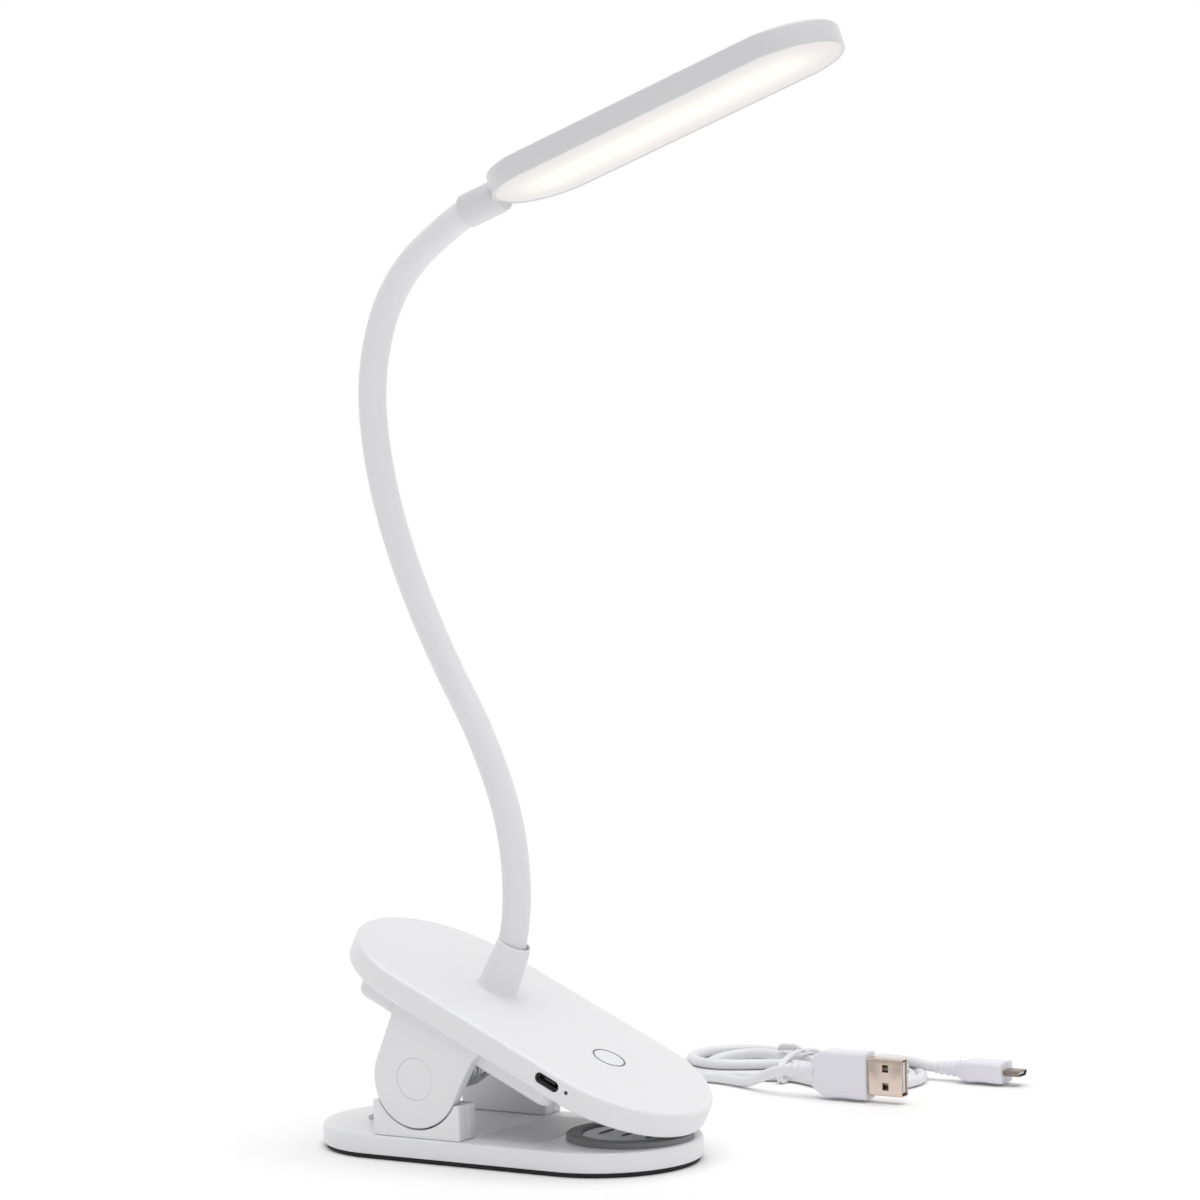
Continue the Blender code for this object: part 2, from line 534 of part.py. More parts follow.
def lead(name, start, end, drop, steps):
    """The cord between the hank and a plug: it leaves both along X and eases from one to the other."""
    start, end = Vector(start), Vector(end)
    points = []
    for i in range(steps + 1):
        part = i / steps
        ease_y, ease_z = smooth_step(part), smooth_step(part * drop)
        points.append(Vector((start.x + (end.x - start.x) * part, start.y + (end.y - start.y) * ease_y,
                              start.z + (end.z - start.z) * ease_z)))
    wire(name, points, CORD_RADIUS, WHITE_SOFT)


def smooth_step(x):
    x = min(1.0, x)
    return x * x * (3 - 2 * x)


plug("usb_a", USB_A_X, USB_A_Y, (0.0200, 0.0080, 0.0155), (0.0120, 0.0045, 0.0120), GILT)
plug("micro_usb", MICRO_X, MICRO_Y, (0.0170, 0.0105, 0.0070), (0.0055, 0.0068, 0.0019), STEEL)
lead("usb_a_lead", (USB_A_X - GAP, USB_A_Y, 0.00855), (-0.0040, 0.1247, CORD_RADIUS + GAP), 1.6, 10)
lead("micro_usb_lead", (MICRO_X - GAP, MICRO_Y, 0.0043), (0.0634, MICRO_Y, 0.0056), 1.0, 3)

for obj in lamp.objects:
    if obj.type == "MESH" and obj.data.polygons:
        obj.data.shade_smooth()
        obj.data.set_sharp_from_angle(angle=math.radians(35))
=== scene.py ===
"""The looks of the clip-on reading lamp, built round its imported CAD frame.

Metres, +Z up, +X towards the jaw tips, +Y to the far side.
"""
import json
import math

import bmesh
import bpy
from mathutils import Matrix, Vector


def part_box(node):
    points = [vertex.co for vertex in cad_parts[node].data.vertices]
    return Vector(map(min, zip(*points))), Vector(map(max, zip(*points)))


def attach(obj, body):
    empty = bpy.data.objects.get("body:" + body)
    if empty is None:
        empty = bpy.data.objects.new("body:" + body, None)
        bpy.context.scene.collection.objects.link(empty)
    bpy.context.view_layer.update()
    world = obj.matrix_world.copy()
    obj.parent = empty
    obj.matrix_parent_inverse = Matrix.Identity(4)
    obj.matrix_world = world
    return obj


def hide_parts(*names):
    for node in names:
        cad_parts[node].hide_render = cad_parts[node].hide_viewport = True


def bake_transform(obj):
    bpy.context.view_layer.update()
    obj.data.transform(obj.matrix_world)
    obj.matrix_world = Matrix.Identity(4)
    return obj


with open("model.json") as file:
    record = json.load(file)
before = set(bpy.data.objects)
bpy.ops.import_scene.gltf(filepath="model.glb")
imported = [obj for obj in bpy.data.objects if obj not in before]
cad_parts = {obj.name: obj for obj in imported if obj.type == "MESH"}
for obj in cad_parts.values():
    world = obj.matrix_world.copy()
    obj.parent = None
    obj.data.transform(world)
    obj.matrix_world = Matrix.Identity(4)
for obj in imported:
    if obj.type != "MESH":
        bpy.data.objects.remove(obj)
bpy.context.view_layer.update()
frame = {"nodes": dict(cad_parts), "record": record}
scene = bpy.context.scene
joints = {joint["name"]: joint for joint in frame["record"]["behaviour"]["joints"]}
neck_joints = [joint for joint in frame["record"]["behaviour"]["joints"]
               if joint["name"].startswith("neck_") or joint["name"] == "head_tilt"]

# ---- camera ---------------------------------------------------------------------------
AZIMUTH, ELEVATION, ROLL = math.radians(31.15), math.radians(1.56), math.radians(-1.26)
DISTANCE, LENS = 1.0106, 101.0
TARGET = Vector((0.0261, 0.0158, 0.1654))

back = Vector((math.sin(AZIMUTH) * math.cos(ELEVATION), -math.cos(AZIMUTH) * math.cos(ELEVATION),
               math.sin(ELEVATION)))
camera = bpy.data.objects.new("camera", bpy.data.cameras.new("camera"))
camera.data.lens, camera.data.sensor_width = LENS, 36.0
camera.data.clip_start, camera.data.clip_end = 0.01, 60.0
camera.location = TARGET + back * DISTANCE
roll = Matrix.Rotation(ROLL, 4, "Z").to_quaternion()
camera.rotation_euler = (back.to_track_quat("Z", "Y") @ roll).to_euler()
scene.collection.objects.link(camera)
scene.camera = camera


# ---- shapes ---------------------------------------------------------------------------
def round_box(rear, front, half_width, corner, inset=0.0, steps=12):
    """Plan outline of a rectangle with rounded corners."""
    points, radius = [], corner - inset
    corners = (
        (front - corner, corner - half_width, -90),
        (front - corner, half_width - corner, 0),
        (rear + corner, half_width - corner, 90),
        (rear + corner, corner - half_width, 180),
    )
    for x, y, start in corners:
        for i in range(steps):
            angle = math.radians(start + 90 * i / (steps - 1))
            points.append((x + radius * math.cos(angle), y + radius * math.sin(angle)))
    return points


def capsule(rear, front, half_width, inset=0.0):
    """Plan outline with half-round ends."""
    return round_box(rear, front, half_width, half_width, inset, 24)


def circle(radius, x=0.0, y=0.0, steps=64):
    turns = (2 * math.pi * i / steps for i in range(steps))
    return [(x + radius * math.cos(a), y + radius * math.sin(a)) for a in turns]


def rectangle(x0, x1, y0, y1):
    return [(x0, y0), (x1, y0), (x1, y1), (x0, y1)]


def arc(x, y, radius, start, end, steps):
    angles = (math.radians(start + (end - start) * i / steps) for i in range(steps + 1))
    return [(x + radius * math.cos(a), y + radius * math.sin(a)) for a in angles]


def level(outline, z):
    return [Vector((x, y, z)) for x, y in outline]


def across(outline, y):
    """An outline drawn in x and z, placed at y."""
    return [Vector((x, y, z)) for x, z in outline]


def along(outline, x):
    """An outline drawn in y and z, placed at x."""
    return [Vector((x, y, z)) for y, z in outline]


def top_fillet(outline_at, top, radius, steps=5):
    """Rings that round the upper edge of an outline over to its top face."""
    turns = (math.pi / 2 * i / steps for i in range(steps + 1))
    return [level(outline_at(radius * (1 - math.cos(a))), top - radius * (1 - math.sin(a)))
            for a in turns]


def bottom_fillet(outline_at, bottom, radius, steps=4):
    """Rings that bring a bottom face round to the side wall."""
    turns = (math.pi / 2 * i / steps for i in range(steps + 1))
    return [level(outline_at(radius * (1 - math.sin(a))), bottom + radius * (1 - math.cos(a)))
            for a in turns]


def ease(x):
    """A smooth step from 0 to 1, flat at both ends."""
    x = max(0.0, min(1.0, x))
    return x * x * (3 - 2 * x)


def smooth(mesh, angle):
    """Smooth shading, but for edges sharper than the angle."""
    for face in mesh.polygons:
        face.use_smooth = True
    mesh.set_sharp_from_angle(angle=math.radians(angle))


def add(name, mesh, place=None, angle=30):
    obj = bpy.data.objects.new(name, mesh)
    scene.collection.objects.link(obj)
    if place is not None:
        obj.matrix_world = place
    smooth(mesh, angle)
    return obj


def loft(name, rings, place=None, closed=False, angle=30):
    """A solid through equal rings of points, capped at both ends or going round to the first ring."""
    mesh = bpy.data.meshes.new(name)
    shape = bmesh.new()
    rows = [[shape.verts.new(point) for point in ring] for ring in rings]
    for row, after in list(zip(rows, rows[1:])) + ([(rows[-1], rows[0])] if closed else []):
        for i in range(len(row)):
            j = (i + 1) % len(row)
            shape.faces.new((row[i], row[j], after[j], after[i]))
    if not closed:
        shape.faces.new(rows[0])
        shape.faces.new(rows[-1])
    bmesh.ops.remove_doubles(shape, verts=shape.verts, dist=1e-7)
    bmesh.ops.recalc_face_normals(shape, faces=shape.faces)
    if shape.calc_volume(signed=True) < 0:
        bmesh.ops.reverse_faces(shape, faces=shape.faces)
    shape.to_mesh(mesh)
    shape.free()
    return add(name, mesh, place, angle)


def turned(name, profile, place=None, steps=64, angle=30):
    """A solid of revolution about its own z axis from a closed profile of (radius, z) points."""
    rings = [level(circle(radius, steps=steps), z) for radius, z in profile]
    return loft(name, rings, place, True, angle)


def slab(name, profile, y0, y1, edge, place=None):
    """A profile drawn in x and z, drawn out along y, with rounded edges."""
    obj = loft(name, [across(profile, y0), across(profile, y1)], place)
    step = obj.modifiers.new("bevel", "BEVEL")
    step.width, step.segments = edge, 3
    step.limit_method, step.angle_limit = "ANGLE", math.radians(40)
    step.harden_normals = False
    return obj


def settle(obj, angle=30):
    """Applies the modifiers, so that the piece is one plain mesh."""
    graph = bpy.context.evaluated_depsgraph_get()
    mesh = bpy.data.meshes.new_from_object(obj.evaluated_get(graph))
    obj.modifiers.clear()
    obj.data = mesh
    smooth(mesh, angle)
    return obj


def discard(*objs):
    for obj in objs:
        bpy.data.objects.remove(obj, do_unlink=True)


def cut(obj, *cutters, angle=30):
    """Takes the cutters out of the piece, and removes them."""
    for cutter in cutters:
        step = obj.modifiers.new(cutter.name, "BOOLEAN")
        step.object, step.solver = cutter, "EXACT"
    bpy.context.view_layer.update()
    settle(obj, angle)
    discard(*cutters)
    return obj


def join(name, *objs):
    """Several meshes in one frame made one piece."""
    shape = bmesh.new()
    for obj in objs:
        settle(obj)
        shape.from_mesh(obj.data)
    mesh = bpy.data.meshes.new(name)
    shape.to_mesh(mesh)
    shape.free()
    place = objs[0].matrix_world.copy()
    discard(*objs)
    return add(name, mesh, place)


def frame_at(origin, turn):
    """Axes at origin whose z leans turn degrees towards +X."""
    return Matrix.Translation(Vector(origin)) @ Matrix.Rotation(math.radians(turn), 4, "Y")


def tube(name, points, radius, steps, ends=None):
    """A round tube with one ring to a point. Its end rings are square to the directions in ends."""
    rings, side = [], Vector((0, 1, 0))
    last = len(points) - 1
    for i, point in enumerate(points):
        ahead = points[min(i + 1, last)] - points[max(i - 1, 0)]
        if ends and i in (0, last):
            ahead = (ends[0] if i == 0 else ends[1]).copy()
        ahead.normalize()
        side = (side - ahead * side.dot(ahead)).normalized()
        other = ahead.cross(side)
        rings.append([point + (side * math.cos(a) + other * math.sin(a)) * radius
                      for a in (2 * math.pi * k / steps for k in range(steps))])
    return loft(name, rings)


# ---- materials ------------------------------------------------------------------------
def shader_of(name):
    made = bpy.data.materials.new(name)
    made.use_nodes = True
    return made, made.node_tree, made.node_tree.nodes["Principled BSDF"]


def noise(tree, scale, detail=3.0, stretch=(1, 1, 1)):
    """A noise field in the object's own axes, in metres times scale."""
    place = tree.nodes.new("ShaderNodeTexCoord")
    mapping = tree.nodes.new("ShaderNodeMapping")
    mapping.inputs["Scale"].default_value = stretch
    field = tree.nodes.new("ShaderNodeTexNoise")
    field.inputs["Scale"].default_value = scale
    field.inputs["Detail"].default_value = detail
    tree.links.new(place.outputs["Object"], mapping.inputs["Vector"])
    tree.links.new(mapping.outputs["Vector"], field.inputs["Vector"])
    return field.outputs["Fac"]


def ramp(tree, source, stops):
    node = tree.nodes.new("ShaderNodeValToRGB")
    elements = node.color_ramp.elements
    while len(elements) < len(stops):
        elements.new(0.5)
    for element, (position, colour) in zip(elements, stops):
        element.position = position
        element.color = (*colour, 1.0) if isinstance(colour, tuple) else (colour, colour, colour, 1.0)
    tree.links.new(source, node.inputs["Fac"])
    return node.outputs["Color"]


def shade(colour, factor):
    return tuple(min(1.0, part * factor) for part in colour)


def surface(name, colour, roughness, metallic=0.0, grain=900.0, bump=0.05, depth=0.00005, vary=0.03,
            cloud=45.0, stretch=(1, 1, 1), coat=0.0, sheen=0.0, spread=0.06):
    """Moulded plastic, rubber or metal: a faint cloud of colour, uneven gloss and a fine grain."""
    made, tree, shader = shader_of(name)
    clouds = noise(tree, cloud, 4.0, stretch)
    grains = noise(tree, grain, 2.0, stretch)
    tree.links.new(ramp(tree, clouds, ((0.3, shade(colour, 1 - vary)), (0.7, shade(colour, 1 + vary)))),
                   shader.inputs["Base Color"])
    tree.links.new(ramp(tree, clouds, ((0.25, max(0.02, roughness - spread)), (0.75, roughness + spread))),
                   shader.inputs["Roughness"])
    height = tree.nodes.new("ShaderNodeBump")
    height.inputs["Strength"].default_value = bump
    height.inputs["Distance"].default_value = depth
    tree.links.new(grains, height.inputs["Height"])
    tree.links.new(height.outputs["Normal"], shader.inputs["Normal"])
    shader.inputs["Metallic"].default_value = metallic
    shader.inputs["Coat Weight"].default_value = coat
    shader.inputs["Coat Roughness"].default_value = 0.12
    shader.inputs["Sheen Weight"].default_value = sheen
    return made


SHELL_WHITE = surface("shell_white", (0.80, 0.80, 0.812), 0.34, grain=700, bump=0.012, vary=0.004, cloud=30,
                      spread=0.02)
# The head's white is the shell's white plastic made darker: painted shade for the head's less lit walls.
HEAD_WHITE_PAINTED_SHADE = surface("head_white_painted_shade", (0.68, 0.68, 0.692), 0.34, grain=2600, bump=0.06, vary=0.008, coat=0.15)
JAW_WHITE = surface("jaw_white", (0.805, 0.805, 0.817), 0.36, grain=2200, bump=0.09, vary=0.010, coat=0.10)
SLEEVE_WHITE = surface("sleeve_white", (0.77, 0.77, 0.785), 0.42, grain=3200, bump=0.12, vary=0.010,
                       sheen=0.08)
INNER_WHITE = surface("inner_white", (0.76, 0.76, 0.76), 0.5, grain=1500, bump=0.15, vary=0.02)
FOOT_BLACK = surface("foot_black", (0.012, 0.012, 0.013), 0.72, grain=1700, bump=0.6, depth=0.0001, vary=0.3)
GRIP_GREY = surface("grip_grey", (0.21, 0.21, 0.215), 0.5, grain=1900, bump=0.5, depth=0.0001, vary=0.12)
FIELD_GREY = surface("field_grey", (0.86, 0.86, 0.865), 0.6, grain=1500, bump=0.3, vary=0.04)
LABEL_GREY = surface("label_grey", (0.70, 0.70, 0.705), 0.5, grain=1500, bump=0.05, vary=0.01)
SLOT_BLACK = surface("slot_black", (0.02, 0.02, 0.02), 0.6, grain=1500, bump=0.3, vary=0.2)
STEEL = surface("bright_steel", (0.56, 0.56, 0.57), 0.27, 1.0, grain=1600, bump=0.15, vary=0.08,
                stretch=(1, 12, 12))
WEIGHT_STEEL = surface("weight_steel", (0.38, 0.38, 0.39), 0.45, 1.0, grain=900, bump=0.4, vary=0.2,
                       cloud=120)
SPRING_STEEL = surface("spring_steel", (0.62, 0.62, 0.63), 0.25, 1.0, grain=2500, bump=0.1, vary=0.06)
GILT = surface("pale_gilt", (0.72, 0.60, 0.52), 0.24, 1.0, grain=1800, bump=0.12, vary=0.06,
               stretch=(1, 10, 10))
DARK_METAL = surface("dark_plug_metal", (0.30, 0.25, 0.22), 0.32, 1.0, grain=1800, bump=0.15, vary=0.1)
FOIL = surface("battery_foil", (0.52, 0.54, 0.57), 0.38, 0.9, grain=500, bump=0.5, vary=0.08)
RING_GREY = surface("ring_grey", (0.17, 0.17, 0.18), 0.4, grain=1500, bump=0.05, vary=0.06)
WINDOW_DARK = surface("window_dark", (0.03, 0.03, 0.035), 0.15, grain=900, bump=0.02, vary=0.1, coat=0.5)
PORT_BLACK = surface("port_black", (0.035, 0.035, 0.037), 0.5, grain=1500, bump=0.1, vary=0.1)
CABLE_WHITE = surface("cable_white", (0.80, 0.80, 0.82), 0.40, grain=2400, bump=0.15, vary=0.02, cloud=120)
PLUG_WHITE = surface("plug_white", (0.80, 0.79, 0.84), 0.38, grain=2000, bump=0.12, vary=0.012)
TIE_WHITE = surface("tie_white", (0.80, 0.80, 0.81), 0.35, grain=1200, bump=0.2, vary=0.02)
BRASS = surface("contact_brass", (0.70, 0.52, 0.28), 0.3, 1.0, grain=1500, bump=0.1, vary=0.08)


def board_material(name, mask, copper):
    """Solder mask with a fine pattern of tracks under it."""
    made, tree, shader = shader_of(name)
    place = tree.nodes.new("ShaderNodeTexCoord")
    tracks = tree.nodes.new("ShaderNodeTexBrick")
    tracks.inputs["Scale"].default_value = 260.0
    tracks.inputs["Mortar Size"].default_value = 0.06
    tracks.inputs["Color1"].default_value = (*mask, 1)
    tracks.inputs["Color2"].default_value = (*shade(mask, 1.25), 1)
    tracks.inputs["Mortar"].default_value = (*copper, 1)
    tree.links.new(place.outputs["Object"], tracks.inputs["Vector"])
    tree.links.new(tracks.outputs["Color"], shader.inputs["Base Color"])
    tree.links.new(ramp(tree, noise(tree, 300), ((0.3, 0.3), (0.7, 0.45))), shader.inputs["Roughness"])
    return made


GREEN_BOARD = board_material("green_board", (0.015, 0.13, 0.06), (0.10, 0.24, 0.10))
LED_BOARD = board_material("white_board", (0.72, 0.72, 0.70), (0.58, 0.58, 0.54))


def opal():
    """The lit opal panel: brightest along its middle, dimmer and pinker at the border."""
    made, tree, shader = shader_of("opal_lit")
    border = tree.nodes.new("ShaderNodeAttribute")
    border.attribute_name = "border"
    glow = ramp(tree, border.outputs["Fac"], (
        (0.0, (0.49, 0.46, 0.45)), (0.25, (0.52, 0.49, 0.475)), (0.55, (0.61, 0.58, 0.55)),
        (0.80, (0.70, 0.67, 0.62)), (1.0, (0.73, 0.70, 0.64))))
    tree.links.new(glow, shader.inputs["Emission Color"])
    shader.inputs["Emission Strength"].default_value = 1.0
    tree.links.new(ramp(tree, noise(tree, 60), ((0.3, (0.29, 0.285, 0.28)), (0.7, (0.31, 0.305, 0.30)))),
                   shader.inputs["Base Color"])
    shader.inputs["Specular IOR Level"].default_value = 0.2
    shader.inputs["Roughness"].default_value = 0.5
    return made


OPAL_LIT = opal()


def finish(obj, look, slot, body, *nodes):
    """Gives a piece its material, its body and the CAD nodes that it stands for. The slot is not used.
    """
    if obj.type == "MESH":
        obj.data.transform(obj.matrix_world)
        obj.matrix_world = Matrix.Identity(4)
    obj.data.materials.clear()
    obj.data.materials.append(look)
    if body:
        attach(obj, body)
    if nodes:
        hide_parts(*nodes)
    return obj


# ---- charging cable -------------------------------------------------------------------
CORD_RADIUS = 0.00175
FLOOR_LEVEL, UPPER_LEVEL = CORD_RADIUS + 0.0002, CORD_RADIUS + 0.0036
LOOP_RADIUS, RUN_HALF, RUN_PITCH, TIE_PINCH = 0.0180, 0.0235, 0.0037, 0.0088  # at MIDDLE_SLOT
INWARD_TURNS, OUTWARD_TURNS, STEPS_PER_TURN = 3, 1.5, 64
OUTER_SLOT, MIDDLE_SLOT, LAST_SLOT = 3, 2, 1.55
LEAD_STEPS, TAIL_STEPS = 24, 8
STRAIGHT_A, STRAIGHT_MICRO = 0.009, 0.008  # the straight stretch in each strain relief

hank_low, hank_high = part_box("cable_hank")
hank_centre = (hank_low + hank_high) / 2
PLUG_A, PLUG_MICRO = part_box("usb_a_grip"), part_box("micro_usb_grip")


def hank_point(turn, slot, height):
    """A point on the oblong winding.

    The turns count from the near side of the left loop, and the slots count cords outwards from the
    innermost. The runs draw together at the tie, half way along.
    """
    part = turn % 1.0
    radius = LOOP_RADIUS + RUN_PITCH * (slot - MIDDLE_SLOT)

    def run(x):
        return radius - TIE_PINCH * (1 - ease(abs(x) / RUN_HALF))

    if part < 0.25:
        angle = math.radians(-90 - 720 * part)
        x, y = -RUN_HALF + radius * math.cos(angle), radius * math.sin(angle)
    elif part < 0.5:
        x = -RUN_HALF + 8 * RUN_HALF * (part - 0.25)
        y = run(x)
    elif part < 0.75:
        angle = math.radians(90 - 720 * (part - 0.5))
        x, y = RUN_HALF + radius * math.cos(angle), radius * math.sin(angle)
    else:
        x = RUN_HALF - 8 * RUN_HALF * (part - 0.75)
        y = -run(x)
    return Vector((hank_centre.x + x, hank_centre.y + y, height))


def cable_route():
    """From the USB-A plug, round the hank inwards, up a layer and outwards, to the micro-USB plug."""
    a_low, a_high = PLUG_A
    m_low, m_high = PLUG_MICRO
    a_exit = Vector((a_low.x - STRAIGHT_A, (a_low.y + a_high.y) / 2, (a_low.z + a_high.z) / 2))
    m_exit = Vector((m_low.x - STRAIGHT_MICRO, (m_low.y + m_high.y) / 2, (m_low.z + m_high.z) / 2))
    points = [a_exit + Vector((0.010, 0, 0)), a_exit]
    join_point = hank_point(0, OUTER_SLOT, FLOOR_LEVEL)
    for i in range(1, LEAD_STEPS):
        t = i / LEAD_STEPS
        x = a_exit.x + (join_point.x - a_exit.x) * t
        y = a_exit.y + (join_point.y - a_exit.y) * ease(t)
        z = FLOOR_LEVEL + (a_exit.z - FLOOR_LEVEL) * (1 - ease(t * 1.6))
        points.append(Vector((x, y, z)))
    for i in range(INWARD_TURNS * STEPS_PER_TURN + 1):
        turn = i / STEPS_PER_TURN
        points.append(hank_point(turn, OUTER_SLOT - turn, FLOOR_LEVEL))
    for i in range(1, int(OUTWARD_TURNS * STEPS_PER_TURN) + 1):
        turn = i / STEPS_PER_TURN
        slot = LAST_SLOT * ease(turn / 1.2)
        height = FLOOR_LEVEL + (UPPER_LEVEL - FLOOR_LEVEL) * ease(turn * 3.2)
        points.append(hank_point(INWARD_TURNS + turn, slot, height))
    last = points[-1]
    for i in range(1, TAIL_STEPS + 1):
        t = i / TAIL_STEPS
        x = last.x + (m_exit.x - last.x) * t
        y = last.y + (m_exit.y - last.y) * ease(t)
        z = UPPER_LEVEL + (m_exit.z - UPPER_LEVEL) * ease((t - 0.45) / 0.5)
        points.append(Vector((x, y, z)))
    points.append(m_exit + Vector((0.009, 0, 0)))
    return points


def cord_curve(name, points, radius):
    """A round cord through the points, with closed ends."""
    curve = bpy.data.curves.new(name, "CURVE")
    curve.dimensions = "3D"
    curve.bevel_depth, curve.bevel_resolution, curve.use_fill_caps = radius, 5, True
    line = curve.splines.new("POLY")
    line.points.add(len(points) - 1)
    for spot, point in zip(line.points, points):
        spot.co = (*point, 1.0)
    line.use_smooth = True
    obj = bpy.data.objects.new(name, curve)
    scene.collection.objects.link(obj)
    return obj


route = cable_route()
cable = cord_curve("charging_cord", route, CORD_RADIUS)
finish(cable, CABLE_WHITE, "cable_jacket", "charging_cable", "cable_hank", "usb_a_lead", "micro_usb_lead")


def strain_relief(name, x, y, z, length, thick, thin):
    """A ribbed, tapering sleeve on the cord behind a plug, ending at x."""
    steps, groove, profile = 16, 0.00030, []
    for i in range(steps + 1):
        t = i / steps
        in_groove = i % 4 in (1, 2) and i < steps - 1
        profile.append((thin + (thick - thin) * t - (groove if in_groove else 0.0), t * length))
    rings = [along(circle(r, y, z, 32), x - length + d) for r, d in profile]
    inner = CORD_RADIUS + 0.0001
    rings += [along(circle(inner, y, z, 32), x), along(circle(inner, y, z, 32), x - length)]
    return loft(name, rings, closed=True)


def moulded_grip(name, low, high, waist, edge):
    """A plug's moulded body: narrower at the cord end, with a finger dish on each broad side."""
    middle, half = (low + high) / 2, (high - low) / 2
    corner = edge * min(half.y, half.z)
    rings = []
    stations = ((0.0, 0.62), (0.06, 0.74), (0.20, 0.92), (0.35, 1.0), (0.5, waist), (0.65, waist),
                (0.8, 1.0), (0.96, 1.0), (1.0, 0.95))
    for t, size in stations:
        ring = []
        half_y, half_z = half.y * size, half.z * min(1.0, size * 1.04)
        for sy, sz, start in ((1, 1, 0), (-1, 1, 90), (-1, -1, 180), (1, -1, 270)):
            for i in range(7):
                a = math.radians(start + 90 * i / 6)
                ring.append((middle.y + sy * (half_y - corner) + corner * math.cos(a),
                             middle.z + sz * (half_z - corner) + corner * math.sin(a)))
        rings.append(along(ring, low.x + (high.x - low.x) * t))
    return loft(name, rings, angle=35)


def plug_shell(name, low, high, wall, corner, holes=(), taper=0.0):
    """A folded metal plug shell, open in front, with latch holes at (x, z) through its near side.

    The taper is how much narrower each lower corner is.
    """
    middle, half = (low + high) / 2, (high - low) / 2

    def ring(inner, x):
        points = []
        for sy, sz, start in ((1, 1, 0), (-1, 1, 90), (-1, -1, 180), (1, -1, 270)):
            radius = max(0.0001, corner - inner)
            narrow = taper if sz < 0 else 0.0
            for i in range(5):
                a = math.radians(start + 90 * i / 4)
                points.append((middle.y + sy * (half.y - narrow - inner - radius) + radius * math.cos(a),
                               middle.z + sz * (half.z - inner - radius) + radius * math.sin(a)))
        return along(points, x)

    shell = loft(name, [ring(0, low.x), ring(0, high.x), ring(wall, high.x), ring(wall, low.x + 0.0015)])
    cutters = []
    for n, (x, z) in enumerate(holes):
        hole = rectangle(x - 0.0011, x + 0.0011, low.y - 0.001, low.y + 0.001)
        cutters.append(loft(f"{name}_hole_{n}", [level(hole, z - 0.0012), level(hole, z + 0.0012)]))
    return cut(shell, *cutters)


def plug(prefix, grip_box, shell_box, look, waist, edge, relief, wall, corner, holes=(), taper=0.0):
    """A plug's moulded grip, strain relief and metal shell."""
    grip_low, grip_high = grip_box
    centre = (grip_low + grip_high) / 2
    grip = moulded_grip(f"{prefix}_grip_body", grip_low, grip_high, waist, edge)
    finish(grip, PLUG_WHITE, "cable_jacket", "charging_cable", f"{prefix}_grip")
    sleeve = strain_relief(f"{prefix}_relief", grip_low.x + 0.0006, centre.y, centre.z, *relief)
    finish(sleeve, PLUG_WHITE, "cable_jacket", "charging_cable")
    shell = plug_shell(f"{prefix}_metal", *shell_box, wall, corner, holes, taper)
    finish(shell, look, "usb_plating", "charging_cable", f"{prefix}_shell")
    return [grip, sleeve, shell]


a_low, a_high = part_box("usb_a_shell")
m_low, m_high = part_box("micro_usb_shell")
a_middle, m_middle = (a_low + a_high) / 2, (m_low + m_high) / 2
a_holes = [(a_low.x + 0.0062, a_middle.z + dz) for dz in (-0.0029, 0.0029)]
plug_pieces = plug("usb_a", PLUG_A, (a_low, a_high), GILT, waist=0.94, edge=0.35,
                   relief=(0.0100, 0.0031, 0.0022), wall=0.0003, corner=0.0006, holes=a_holes)
plug_pieces += plug("micro_usb", PLUG_MICRO, (m_low, m_high), DARK_METAL, waist=0.93, edge=0.45,
                    relief=(0.0090, 0.0029, 0.0021), wall=0.00025, corner=0.0004, taper=0.0007)
tongue_outline = rectangle(a_low.x + 0.0014, a_high.x - 0.0006, a_middle.z - 0.0050, a_middle.z + 0.0050)
tongue = slab("usb_a_tongue", tongue_outline, a_middle.y + 0.0002, a_middle.y + 0.0017, 0.0002)
finish(settle(tongue), INNER_WHITE, "inner_white", "charging_cable")
for n in range(4):
    z = a_middle.z + (n - 1.5) * 0.0023
    strip_outline = rectangle(a_low.x + 0.0030, a_high.x - 0.0012, z - 0.0006, z + 0.0006)
    strip = slab(f"usb_a_contact_{n + 1}", strip_outline, a_middle.y + 0.00005, a_middle.y + 0.00022,
                 0.00003)
    plug_pieces.append(finish(settle(strip), BRASS, "contact_brass", "charging_cable"))
plug_pieces.append(tongue)
tongue_outline = rectangle(m_low.x + 0.0014, m_high.x - 0.0005, m_middle.z - 0.0003, m_middle.z + 0.0004)
tongue = slab("micro_usb_tongue", tongue_outline, m_middle.y - 0.0022, m_middle.y + 0.0022, 0.0001)
plug_pieces.append(finish(settle(tongue), INNER_WHITE, "inner_white", "charging_cable"))


